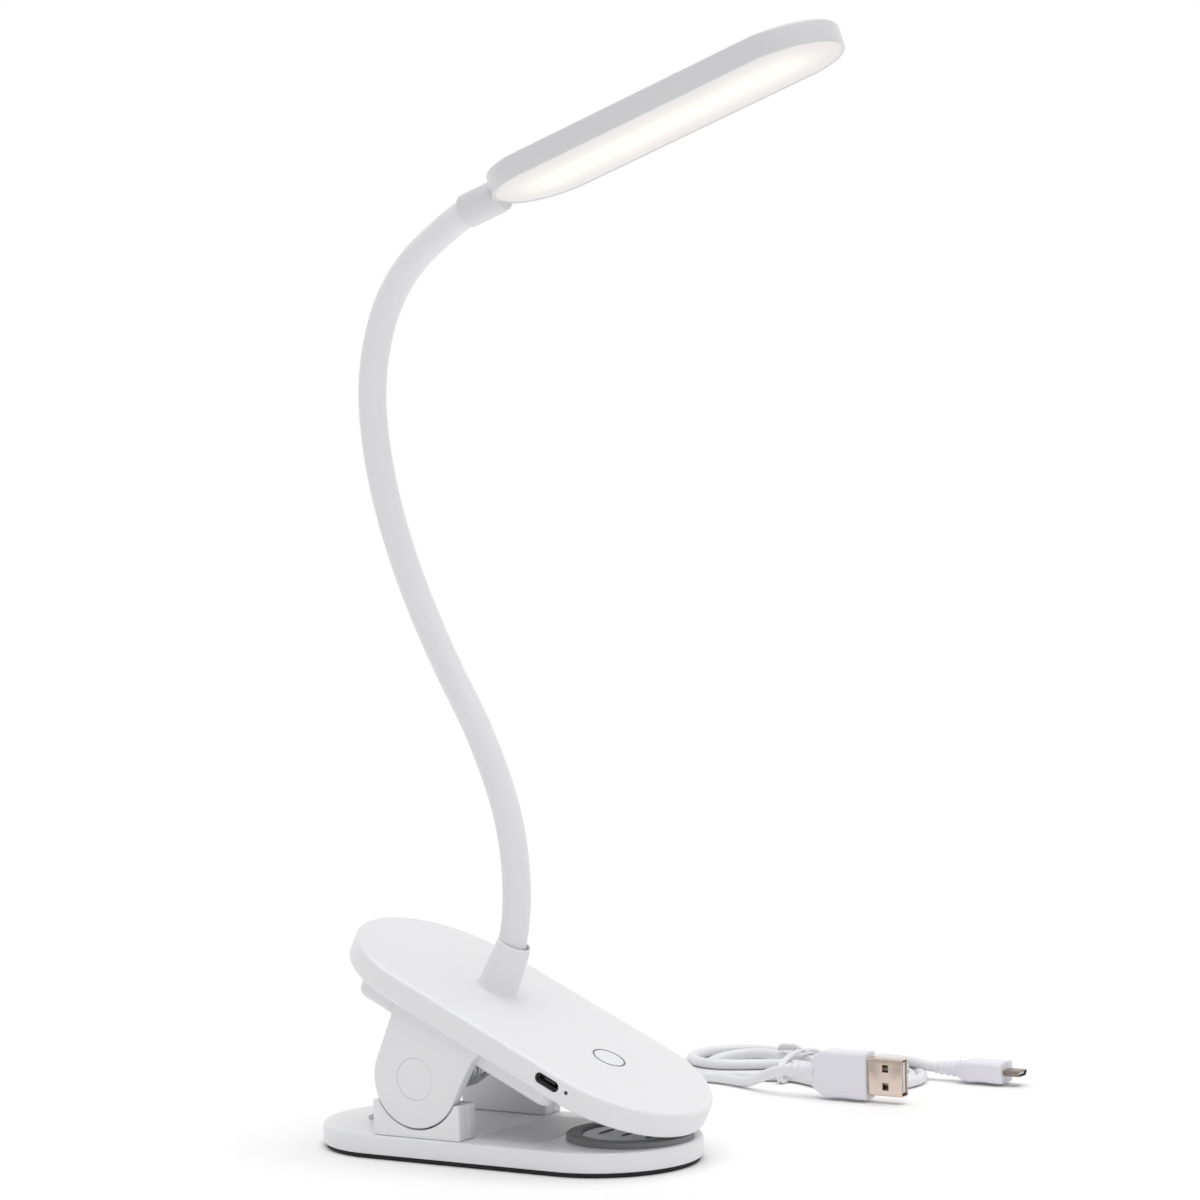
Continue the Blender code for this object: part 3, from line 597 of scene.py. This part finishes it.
def twist_tie():
    """A wire tie: twice round the bundle at the pinch, its two ends twisted together on top."""
    half_width = LOOP_RADIUS + RUN_PITCH - TIE_PINCH + CORD_RADIUS + 0.0007
    wire, waist, top, bottom = 0.00065, 0.0034, 0.0089, 0.0007
    turns, steps, pitch = 2, 48, 0.0011
    strand_steps, strand_length, strand_drift, twist = 40, 0.0100, 0.0050, 17
    wrap = []
    for i in range(turns * steps + 1):
        a = math.pi / 2 + 2 * math.pi * i / steps
        y, lift = math.cos(a), math.sin(a)
        if lift < 0:
            y = math.copysign(abs(y) ** 0.45, y)
        rise = (top - waist) * lift if lift >= 0 else (bottom - waist) * min(1.0, -lift * 1.7)
        wrap.append(Vector((hank_centre.x + pitch * (i / steps - turns / 2),
                            hank_centre.y + half_width * y, waist + rise)))
    pieces = [tube("tie_wrap", wrap, wire, steps=12)]
    for number, (start, phase) in enumerate(((wrap[0], math.pi), (wrap[-1], 0.0)), 1):
        strand = []
        for i in range(strand_steps + 1):
            t = i / strand_steps
            middle = Vector((hank_centre.x - 0.0010 - strand_length * t,
                             hank_centre.y + 0.0005 + strand_drift * t, top + 0.0009 - 0.0010 * t * t))
            a = phase + twist * t
            turn = Vector((0.0, math.cos(a), math.sin(a))) * (wire + 0.00003)
            strand.append(start.lerp(middle + turn, ease(t / 0.15)))
        pieces.append(tube(f"tie_strand_{number}", strand, wire, steps=12))
    return pieces


tie = join("twist_tie_wire", *twist_tie())
finish(tie, TIE_WHITE, "cable_jacket", "charging_cable", "twist_tie")

# ---- lower jaw ------------------------------------------------------------------------
plate_low, plate_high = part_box("lower_plate")
PLATE_TOP, PLATE_BOTTOM = plate_high.z, plate_low.z
pin = Vector(joints["clip_hinge"]["pos_m"])


def box_outline(box):
    """The capsule that fills a node's box, as a function of its inset."""
    low, high = box
    return lambda inset: capsule(low.x, high.x, (high.y - low.y) / 2, inset)


plate_outline = box_outline((plate_low, plate_high))
plate = loft("plate_body", [
    level(plate_outline(0.0020), PLATE_TOP - 0.0017),
    level(plate_outline(0.0020), PLATE_BOTTOM + 0.0003),
    *bottom_fillet(plate_outline, PLATE_BOTTOM, 0.0004),
    *top_fillet(plate_outline, PLATE_TOP, 0.0010),
])
finish(plate, SHELL_WHITE, "white_shell", "lower_jaw", "lower_plate")

foot_outline = box_outline(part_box("foot_pad"))
foot = loft("foot_rubber", [*bottom_fillet(foot_outline, 0.0, 0.0004),
                            *top_fillet(foot_outline, PLATE_BOTTOM + 0.0002, 0.0002, 2)])
finish(foot, FOOT_BLACK, "foot_rubber", "lower_jaw", "foot_pad")

# Grip pad on the plate: a rubber ring with fine ridges round a pale field with three dark slots
ring_low, ring_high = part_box("lower_grip_ring")
pad_centre = Vector(((ring_low.x + ring_high.x) / 2, 0, 0))
pad_radius = (ring_high.x - ring_low.x) / 2


def ridged_ring(inner, outer, base, top, ridges, up=1):
    """Closed profile of a ring whose top has concentric ridges."""
    profile = [(inner, base), (outer, base), (outer, top - up * 0.0004), (outer - 0.0003, top - up * 0.0001)]
    pitch = (outer - inner - 0.0010) / ridges
    for i in range(ridges):
        start = outer - 0.0005 - i * pitch
        profile += [(start, top), (start - 0.45 * pitch, top), (start - 0.55 * pitch, top - up * 0.0003),
                    (start - 0.92 * pitch, top - up * 0.0003)]
    profile += [(inner + 0.0003, top - up * 0.0001), (inner, top - up * 0.0004)]
    return profile


PAD_WIDTH, FIELD_HEIGHT, PAD_STEPS = 0.0045, 0.0011, 96
SLOT_RADIUS, SLOT_STRETCH, SLOT_PITCH = 0.0011, 4.2, 0.0080
pad_place = Matrix.Translation(pad_centre)
pad_base, field_radius = PLATE_TOP - 0.0002, pad_radius - 0.0046
ring_profile = ridged_ring(pad_radius - PAD_WIDTH, pad_radius, pad_base, ring_high.z, 4)
ring = turned("grip_ring_body", ring_profile, pad_place, PAD_STEPS)
finish(ring, GRIP_GREY, "grip_rubber", "lower_jaw", "lower_grip_ring")
field_profile = [(0.0002, pad_base), (field_radius, pad_base), (field_radius, PLATE_TOP + 0.0008),
                 (field_radius - 0.0004, PLATE_TOP + FIELD_HEIGHT), (0.0002, PLATE_TOP + FIELD_HEIGHT)]
field = turned("grip_field_body", field_profile, pad_place, PAD_STEPS)
finish(field, FIELD_GREY, "grip_field", "lower_jaw", "lower_grip_field")
for number, dx in enumerate((-SLOT_PITCH, 0.0, SLOT_PITCH), 1):
    inlay_outline = [(pad_centre.x + dx + x, y * SLOT_STRETCH)
                     for x, y in capsule(-SLOT_RADIUS, SLOT_RADIUS, SLOT_RADIUS)]
    inlay = loft(f"grip_slot_{number}", [level(inlay_outline, PLATE_TOP + dz) for dz in (0.0009, 0.0012)])
    finish(inlay, SLOT_BLACK, "grip_rubber", "lower_jaw")

# A blank label on the plate, between the hinge and the grip pad
LABEL_REAR, LABEL_FRONT, LABEL_HALF, LABEL_CORNER = 0.0010, 0.0222, 0.0205, 0.0010
label_outline = round_box(LABEL_REAR, LABEL_FRONT, LABEL_HALF, LABEL_CORNER)
label = loft("plate_label", [level(label_outline, PLATE_TOP + dz) for dz in (-0.0001, 0.00012)])
finish(label, LABEL_GREY, "inner_white", "lower_jaw")

# Hinge cheeks: each has a round pocket for an ear outside, and inside it a lug round the pin
EAR_INNER, EAR_OUTER, EAR_RADIUS, LUG_RADIUS = 0.0243, 0.0284, 0.0147, 0.0085
cheek_low, cheek_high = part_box("cheek_near")
CHEEK_TOP, CHEEK_INNER, CHEEK_STEP = 0.0180, 0.0195, 0.0238
half_cheek = (cheek_high.x - cheek_low.x) / 2
pocket = EAR_RADIUS + 0.0005
reach = math.degrees(math.asin((pin.z - CHEEK_TOP) / pocket))
cheek_rear, cheek_front, cheek_base = pin.x - half_cheek, pin.x + half_cheek, PLATE_TOP + 0.00005
cheek_foot = [(cheek_rear, cheek_base), (cheek_front, cheek_base), (cheek_front, CHEEK_TOP)]
pocket_arc = arc(pin.x, pin.z, pocket, -reach, reach - 180, 40)
lug_arc = arc(pin.x, pin.z, LUG_RADIUS, 0, 180, 32)
outer_profile = [*cheek_foot, *pocket_arc, (cheek_rear, CHEEK_TOP)]
inner_profile = [*cheek_foot, (pin.x + LUG_RADIUS, CHEEK_TOP), *lug_arc, (pin.x - LUG_RADIUS, CHEEK_TOP),
                 (cheek_rear, CHEEK_TOP)]
for side, name in ((-1, "near"), (1, "far")):
    outer = slab(f"cheek_outer_{name}", outer_profile, side * CHEEK_STEP, side * EAR_OUTER, 0.0005)
    inner = slab(f"cheek_inner_{name}", inner_profile, side * CHEEK_INNER, side * (CHEEK_STEP + 0.0001),
                 0.0005)
    cheek = join(f"cheek_{name}_body", outer, inner)
    finish(cheek, JAW_WHITE, "white_shell", "lower_jaw", f"cheek_{name}")

# Torsion spring: the coil round the pin twists between the two jaws
JAW_TILT, HEAD_TILT = 24.8, 18.6
SHELL_TOP, SHELL_MIDDLE, TRAY_DEPTH = 0.0260, 0.0146, 0.0143
WIRE, COIL, COIL_TURNS, COIL_NEAR, COIL_FAR = 0.0008, 0.0056, 4, -0.0105, 0.0005
LOWER_LEG_X, UPPER_LEG_REACH, LEG_REST = -0.0441, 0.0128, WIRE + 0.0003
tilt = math.radians(JAW_TILT)
jaw_up = Vector((math.sin(tilt), 0, math.cos(tilt)))
jaw_forward = Vector((math.cos(tilt), 0, -math.sin(tilt)))


def tangent_turn(leg):
    """How far the end of a leg lies round from the point where it leaves the coil."""
    return math.acos(COIL / math.hypot(leg.x, leg.z))


def spring_route():
    """A leg resting on the plate, the coil, and a leg pressing up under the tray."""
    lower = Vector((LOWER_LEG_X - pin.x, 0, PLATE_TOP + LEG_REST - pin.z))
    upper = jaw_up * (SHELL_TOP - TRAY_DEPTH - LEG_REST) + jaw_forward * UPPER_LEG_REACH
    start = math.atan2(lower.z, lower.x) + tangent_turn(lower)
    end = math.atan2(upper.z, upper.x) - tangent_turn(upper) + 2 * math.pi * COIL_TURNS
    near, far = Vector((0, COIL_NEAR, 0)), Vector((0, COIL_FAR, 0))
    coil, steps = [], COIL_TURNS * 32
    for i in range(steps + 1):
        a = start + (end - start) * i / steps
        coil.append(pin + near + (far - near) * i / steps + COIL * Vector((math.cos(a), 0, math.sin(a))))
    first, last = coil[0], coil[-1]
    lower_end, upper_end = pin + lower + near, pin + upper + far
    return ([lower_end + (first - lower_end) * i / 8 for i in range(8)] + coil
            + [last + (upper_end - last) * i / 8 for i in range(1, 9)])


spring = tube("spring_wire", spring_route(), WIRE, steps=14)
finish(spring, SPRING_STEEL, "steel", None, "torsion_spring")
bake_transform(spring)

# ---- upper jaw ------------------------------------------------------------------------
JAW = frame_at(pin, JAW_TILT)
SHELL_LENGTH, SHELL_WIDTH, SHELL_DEPTH = 0.1245, 0.0620, 0.0083
shell_rear, shell_front = SHELL_MIDDLE - SHELL_LENGTH / 2, SHELL_MIDDLE + SHELL_LENGTH / 2
TRAY_REAR, TRAY_FRONT, TRAY_HALF, TRAY_CORNER = -0.0322, 0.0420, 0.0247, 0.0045
PORT_X, PORT_DROP, PORT_HALF, PORT_RADIUS = 0.0422, 0.0034, 0.0026, 0.00165
LAMP_X, BUTTON_X = 0.0491, 0.0434
JAW_ACROSS = [JAW @ Matrix.Rotation(math.radians(-90 * side), 4, "X") for side in (-1, 1)]


def below(depth):
    return SHELL_TOP - depth


def shell_outline(inset):
    return capsule(shell_rear, shell_front, SHELL_WIDTH / 2, inset)


def tray_outline(inset):
    return round_box(TRAY_REAR, TRAY_FRONT, TRAY_HALF, TRAY_CORNER, inset)


shell = loft("shell_body", [
    level(shell_outline(0.0018), below(0.0020)),
    level(shell_outline(0.0018), below(SHELL_DEPTH - 0.0016)),
    level(shell_outline(0.0034), below(SHELL_DEPTH - 0.0003)),
    *bottom_fillet(lambda inset: shell_outline(inset * 1.9), below(SHELL_DEPTH), 0.0016, 6),
    *top_fillet(shell_outline, SHELL_TOP, 0.0014, 7),
], JAW)
wall_y, port_z = -SHELL_WIDTH / 2, below(PORT_DROP)


def port_outline(radius):
    ends = arc(PORT_HALF, 0, radius, -90, 90, 14) + arc(-PORT_HALF, 0, radius, 90, 270, 14)
    return [(PORT_X + x, port_z + z) for x, z in ends]


# Micro-USB port: a slot through the wall, with a dark lining and the contact tongue. The charge lamp
# is a small window in the wall's curved front.
port_edge = port_outline(PORT_RADIUS)
port_cutter = loft("port_cutter", [across(port_edge, wall_y + dy) for dy in (-0.001, 0.003)], JAW)
nose_centre_x = shell_front - SHELL_WIDTH / 2
lamp_turn = math.asin((LAMP_X - nose_centre_x) / (SHELL_WIDTH / 2))
lamp_out = Vector((math.sin(lamp_turn), -math.cos(lamp_turn), 0))
lamp_at = Vector((nose_centre_x, 0, port_z + 0.0002))
lamp_place = JAW @ Matrix.Translation(lamp_at) @ lamp_out.to_track_quat("Z", "Y").to_matrix().to_4x4()
lamp_edge = circle(0.00062, steps=24)
lamp_cutter = loft("lamp_cutter", [level(lamp_edge, 0.0280), level(lamp_edge, 0.0330)], lamp_place)
cut(shell, port_cutter, lamp_cutter, angle=32)
finish(shell, SHELL_WHITE, "white_shell", "upper_jaw", "top_shell")
window_profile = [(0.0001, 0.0285), (0.00055, 0.0285), (0.00055, 0.03065), (0.0001, 0.03075)]
window = turned("charge_window", window_profile, lamp_place, 24)
finish(window, WINDOW_DARK, "dark_window", "upper_jaw", "charge_lamp")
lining_profile = ((0.00163, -0.0308), (0.00135, -0.0305), (0.00120, -0.0292), (0.00240, -0.0290),
                  (0.00163, -0.0291))
lining_rings = [across(port_outline(radius), y) for radius, y in lining_profile]
lining = loft("port_lining", lining_rings, JAW, closed=True)
finish(lining, PORT_BLACK, "dark_window", "upper_jaw")
contact_outline = rectangle(PORT_X - 0.0020, PORT_X + 0.0020, port_z - 0.0002, port_z + 0.0003)
contact_tongue = slab("port_tongue", contact_outline, -0.0292, -0.0250, 0.00008, JAW)
finish(settle(contact_tongue), WINDOW_DARK, "dark_window", "upper_jaw")

# The touch button is a printed ring, a hair proud of the shell.
PRINT_INNER, PRINT_OUTER, PROUD = 0.0046, 0.0052, 0.00003
print_profile = rectangle(PRINT_INNER, PRINT_OUTER, below(0.0001), below(-PROUD))
button = turned("touch_print", print_profile, JAW @ Matrix.Translation((BUTTON_X, 0, 0)), PAD_STEPS)
finish(button, RING_GREY, "touch_ring", "upper_jaw", "touch_ring")

# Tray with its two ears and their pin caps
tray = loft("tray_cup", [
    level(tray_outline(0.0015), below(TRAY_DEPTH - 0.0015)),
    level(tray_outline(0.0015), below(0.0068)),
    level(tray_outline(0.0), below(0.0068)),
    *reversed(bottom_fillet(tray_outline, below(TRAY_DEPTH), 0.0022, 7)),
], JAW)
flange = loft("tray_flange", [level(shell_outline(0.0019), below(depth)) for depth in (0.0077, 0.0068)], JAW)
inner_edge = tray_outline(0.0010)
cut(flange, loft("flange_cutter", [level(inner_edge, below(depth)) for depth in (0.0090, 0.0050)], JAW))
ear_top = below(0.0075)
ear_profile = [(-0.0154, ear_top), (-0.0151, 0.0100), *arc(0, 0, EAR_RADIUS, 180, 360, 48),
               (0.0151, 0.0080), (0.0156, 0.0140), (0.0170, 0.0180), (0.0171, ear_top)]
CAP_BASE, CAP_RADIUS, RECESS_RADIUS, CAP_FACE = 0.0272, 0.00630, 0.00636, 0.02836
recess_profile = rectangle(0.0001, RECESS_RADIUS, CAP_BASE, 0.0300)
cap_profile = [(0.0001, CAP_BASE), (CAP_RADIUS, CAP_BASE), (CAP_RADIUS, CAP_FACE - 0.00008),
               (CAP_RADIUS - 0.00008, CAP_FACE), (0.0001, CAP_FACE)]
ears = []
for side, turned_out in zip((-1, 1), JAW_ACROSS):
    ear = slab(f"ear_{side}", ear_profile, side * EAR_INNER, side * EAR_OUTER, 0.00035, JAW)
    ears.append(cut(ear, turned(f"recess_{side}", recess_profile, turned_out, 64)))
tray_piece = join("tray_body", tray, flange, *ears)
finish(tray_piece, JAW_WHITE, "white_shell", "upper_jaw", "under_tray")
for name, turned_out in zip(("near", "far"), JAW_ACROSS):
    cap = turned(f"ear_cap_{name}", cap_profile, turned_out, 64)
    finish(cap, JAW_WHITE, "white_shell", "upper_jaw", f"pin_cap_{name}")

upper_place = JAW @ Matrix.Translation((SHELL_MIDDLE + 0.0437, 0, 0))
upper_profile = ridged_ring(0.0075, 0.0125, below(0.0076), below(0.0099), 4, -1)
upper_ring = turned("upper_grip_body", upper_profile, upper_place, PAD_STEPS)
finish(upper_ring, GRIP_GREY, "grip_rubber", "upper_jaw", "upper_grip_pad")

# Collar: a turned cone that flows into the shell
COLLAR_X, COLLAR_HEIGHT, COLLAR_BORE = 0.0005, 0.0160, 0.0046
FOOT_RADIUS, FOOT_FILLET, FOOT_RISE = 0.0078, 0.0016, 0.0020
fillet = [(FOOT_RADIUS - FOOT_FILLET * math.sin(a), below(-FOOT_RISE * (1 - math.cos(a)) - PROUD))
          for a in (math.radians(degrees) for degrees in range(10, 90, 10))]
rim = [(radius, below(drop - COLLAR_HEIGHT)) for radius, drop in (
    (0.0053, 0.0006), (0.0052, 0.0002), (0.0050, 0.0), (COLLAR_BORE + 0.0001, 0.0), (COLLAR_BORE, 0.0003))]
collar_profile = [(COLLAR_BORE, below(0.0004)), (FOOT_RADIUS, below(0.0004)), (FOOT_RADIUS, below(-PROUD)),
                  *fillet, *rim]
collar = turned("collar_body", collar_profile, JAW @ Matrix.Translation((COLLAR_X, 0, 0)), 80, 40)
finish(collar, SHELL_WHITE, "white_shell", "upper_jaw", "neck_collar")

# ---- gooseneck ------------------------------------------------------------------------
# One smooth sleeve. Each piece runs from the middle of one link to the middle of the next, and bends
# over one joint.
SLEEVE_RADIUS, ROOT_DEPTH, HEAD_DEPTH = 0.0043, 0.0220, 0.0120
BEND_REACH, BEND_SHARE, END_REACH = 0.0095, 0.3, 0.003
head_forward = Vector((math.cos(math.radians(HEAD_TILT)), 0, math.sin(math.radians(HEAD_TILT))))
knots = [Vector(joint["pos_m"]) for joint in neck_joints]
knots = [knots[0] - jaw_up * ROOT_DEPTH, *knots, knots[-1] + head_forward * HEAD_DEPTH]


def sleeve_line(before, at, after, steps=18):
    """From the middle of one link to the middle of the next, rounding the corner between them."""
    start, end = (before + at) / 2, (at + after) / 2
    return [start * (1 - t) ** 2 + at * (2 * t * (1 - t)) + end * t ** 2
            for t in (i / steps for i in range(steps + 1))]


for number in range(len(neck_joints)):
    before, at, after = knots[number:number + 3]
    line = sleeve_line(before, at, after)
    sleeve = tube(f"sleeve_{number}", line, SLEEVE_RADIUS, steps=48, ends=(at - before, after - at))
    hidden = ["neck_root"] if number == 0 else [f"neck_link_{number}"]
    finish(sleeve, SLEEVE_WHITE, "neck_sleeve", None, *hidden)
    reach = min(BEND_REACH, BEND_SHARE * (line[0] - line[-1]).length)
    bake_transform(sleeve)

# ---- head -----------------------------------------------------------------------------
HEAD = frame_at(knots[-2], -HEAD_TILT)
HEAD_LENGTH, HEAD_WIDTH, HEAD_REAR, HEAD_TOP, HEAD_BOTTOM = 0.1190, 0.0380, 0.0156, 0.0042, -0.0028


def head_outline(inset):
    return capsule(HEAD_REAR, HEAD_REAR + HEAD_LENGTH, HEAD_WIDTH / 2, inset)


head = loft("head_body", [
    level(head_outline(0.0016), HEAD_TOP - 0.0015),
    level(head_outline(0.0016), HEAD_BOTTOM + 0.0018),
    level(head_outline(0.0009), HEAD_BOTTOM + 0.0017),
    level(head_outline(0.0009), HEAD_BOTTOM + 0.0004),
    *bottom_fillet(head_outline, HEAD_BOTTOM, 0.0004),
    *top_fillet(head_outline, HEAD_TOP, 0.0009, 6),
], HEAD)
# The head shell takes the darker white: painted shade.
finish(head, HEAD_WHITE_PAINTED_SHADE, "white_shell", "head", "head_shell")


def opal_panel():
    """The diffuser: a shallow crowned panel whose "border" attribute is the distance in from its edge."""
    edge = 0.0010
    half, steps = HEAD_WIDTH / 2 - edge, 22
    insets = [edge + half * (i / steps) for i in range(steps)]
    face = [level(head_outline(inset), HEAD_BOTTOM + 0.0003 - 0.0002 * ease((inset - edge) / 0.002))
            for inset in insets]
    panel = loft("diffuser_panel", [level(head_outline(edge), HEAD_BOTTOM + 0.0015), *face], HEAD)
    layer = panel.data.attributes.new("border", "FLOAT", "POINT")
    middle = HEAD_REAR + HEAD_LENGTH / 2
    straight = HEAD_LENGTH / 2 - HEAD_WIDTH / 2
    for vertex, value in zip(panel.data.vertices, layer.data):
        across_x = max(0.0, abs(vertex.co.x - middle) - straight)
        value.value = max(0.0, 1 - math.hypot(across_x, vertex.co.y) / half)
    return panel


finish(opal_panel(), OPAL_LIT, "diffuser", "head", "diffuser")
connector_profile = [(0.0046, 0.0028), (0.0050, 0.0027), (0.0052, 0.0031), (0.0052, HEAD_REAR - 0.0010),
                     (0.0049, HEAD_REAR + 0.0006), (0.0011, HEAD_REAR + 0.0012), (0.0011, 0.0074),
                     (0.0046, 0.0072)]
connector_rings = [along(circle(radius), x) for radius, x in connector_profile]
connector = loft("connector_body", connector_rings, HEAD, closed=True)
# The connector takes the same darker white: painted shade.
finish(connector, HEAD_WHITE_PAINTED_SHADE, "white_shell", "head", "head_connector")

# ---- CAD nodes that stay --------------------------------------------------------------
KEPT = {
    "lower_cover": INNER_WHITE, "counterweight": WEIGHT_STEEL, "hinge_pin": STEEL, "battery": FOIL,
    "tray_screw_1": STEEL, "tray_screw_2": STEEL, "collar_nut": STEEL, "touch_sensor": BRASS,
    "main_board": GREEN_BOARD, "usb_socket": PORT_BLACK,
    "reflector_frame": INNER_WHITE, "led_board": LED_BOARD, "head_tenon": STEEL,
    **{f"neck_core_{n}": STEEL for n in range(1, 9)},
    **{f"cheek_screw_{side}_{end}": STEEL for side in ("near", "far") for end in ("rear", "front")},
}
for node, look in KEPT.items():
    obj = frame["nodes"][node]
    for material_slot in obj.material_slots:
        material_slot.material = look

# ---- studio ---------------------------------------------------------------------------
FLOOR = surface("studio_floor", (0.93, 0.93, 0.93), 0.9, grain=60, bump=0.0, vary=0.004, cloud=3)
floor_outline = rectangle(-9, 9, -9, 9)
floor = loft("studio_floor", [level(floor_outline, z) for z in (-0.02, 0.0)])
floor.data.materials.append(FLOOR)

sun = bpy.data.objects.new("key", bpy.data.lights.new("key", "SUN"))
sun.data.energy, sun.data.angle = 2.0, math.radians(70)
sun.rotation_euler = Vector((0.15, -0.04, 1.0)).to_track_quat("Z", "Y").to_euler()
scene.collection.objects.link(sun)

# The sky is white where the camera looks, and greyer behind the camera and overhead.
world = bpy.data.worlds.new("studio")
scene.world = world
world.use_nodes = True
sky = world.node_tree
place = sky.nodes.new("ShaderNodeTexCoord")
facing = sky.nodes.new("ShaderNodeVectorMath")
facing.operation = "DOT_PRODUCT"
facing.inputs[1].default_value = (-0.26, 0.43, 0.0)
sky.links.new(place.outputs["Generated"], facing.inputs[0])
shifted = sky.nodes.new("ShaderNodeMath")
shifted.inputs[1].default_value = 0.5
sky.links.new(facing.outputs["Value"], shifted.inputs[0])
around = ramp(sky, shifted.outputs[0], ((0.0, 0.56), (0.45, 0.58), (0.85, 1.0), (1.0, 1.0)))
split = sky.nodes.new("ShaderNodeSeparateXYZ")
sky.links.new(place.outputs["Generated"], split.inputs[0])
height = ramp(sky, split.outputs["Z"], ((0.25, 0.0), (0.65, 1.0)))
tone = sky.nodes.new("ShaderNodeMix")
tone.data_type = "RGBA"
sky.links.new(height, tone.inputs[0])
sky.links.new(around, tone.inputs[6])
tone.inputs[7].default_value = (0.42, 0.42, 0.42, 1.0)
sky.links.new(tone.outputs[2], sky.nodes["Background"].inputs["Color"])
sky.nodes["Background"].inputs["Strength"].default_value = 1.0
scene.view_settings.view_transform = "Standard"
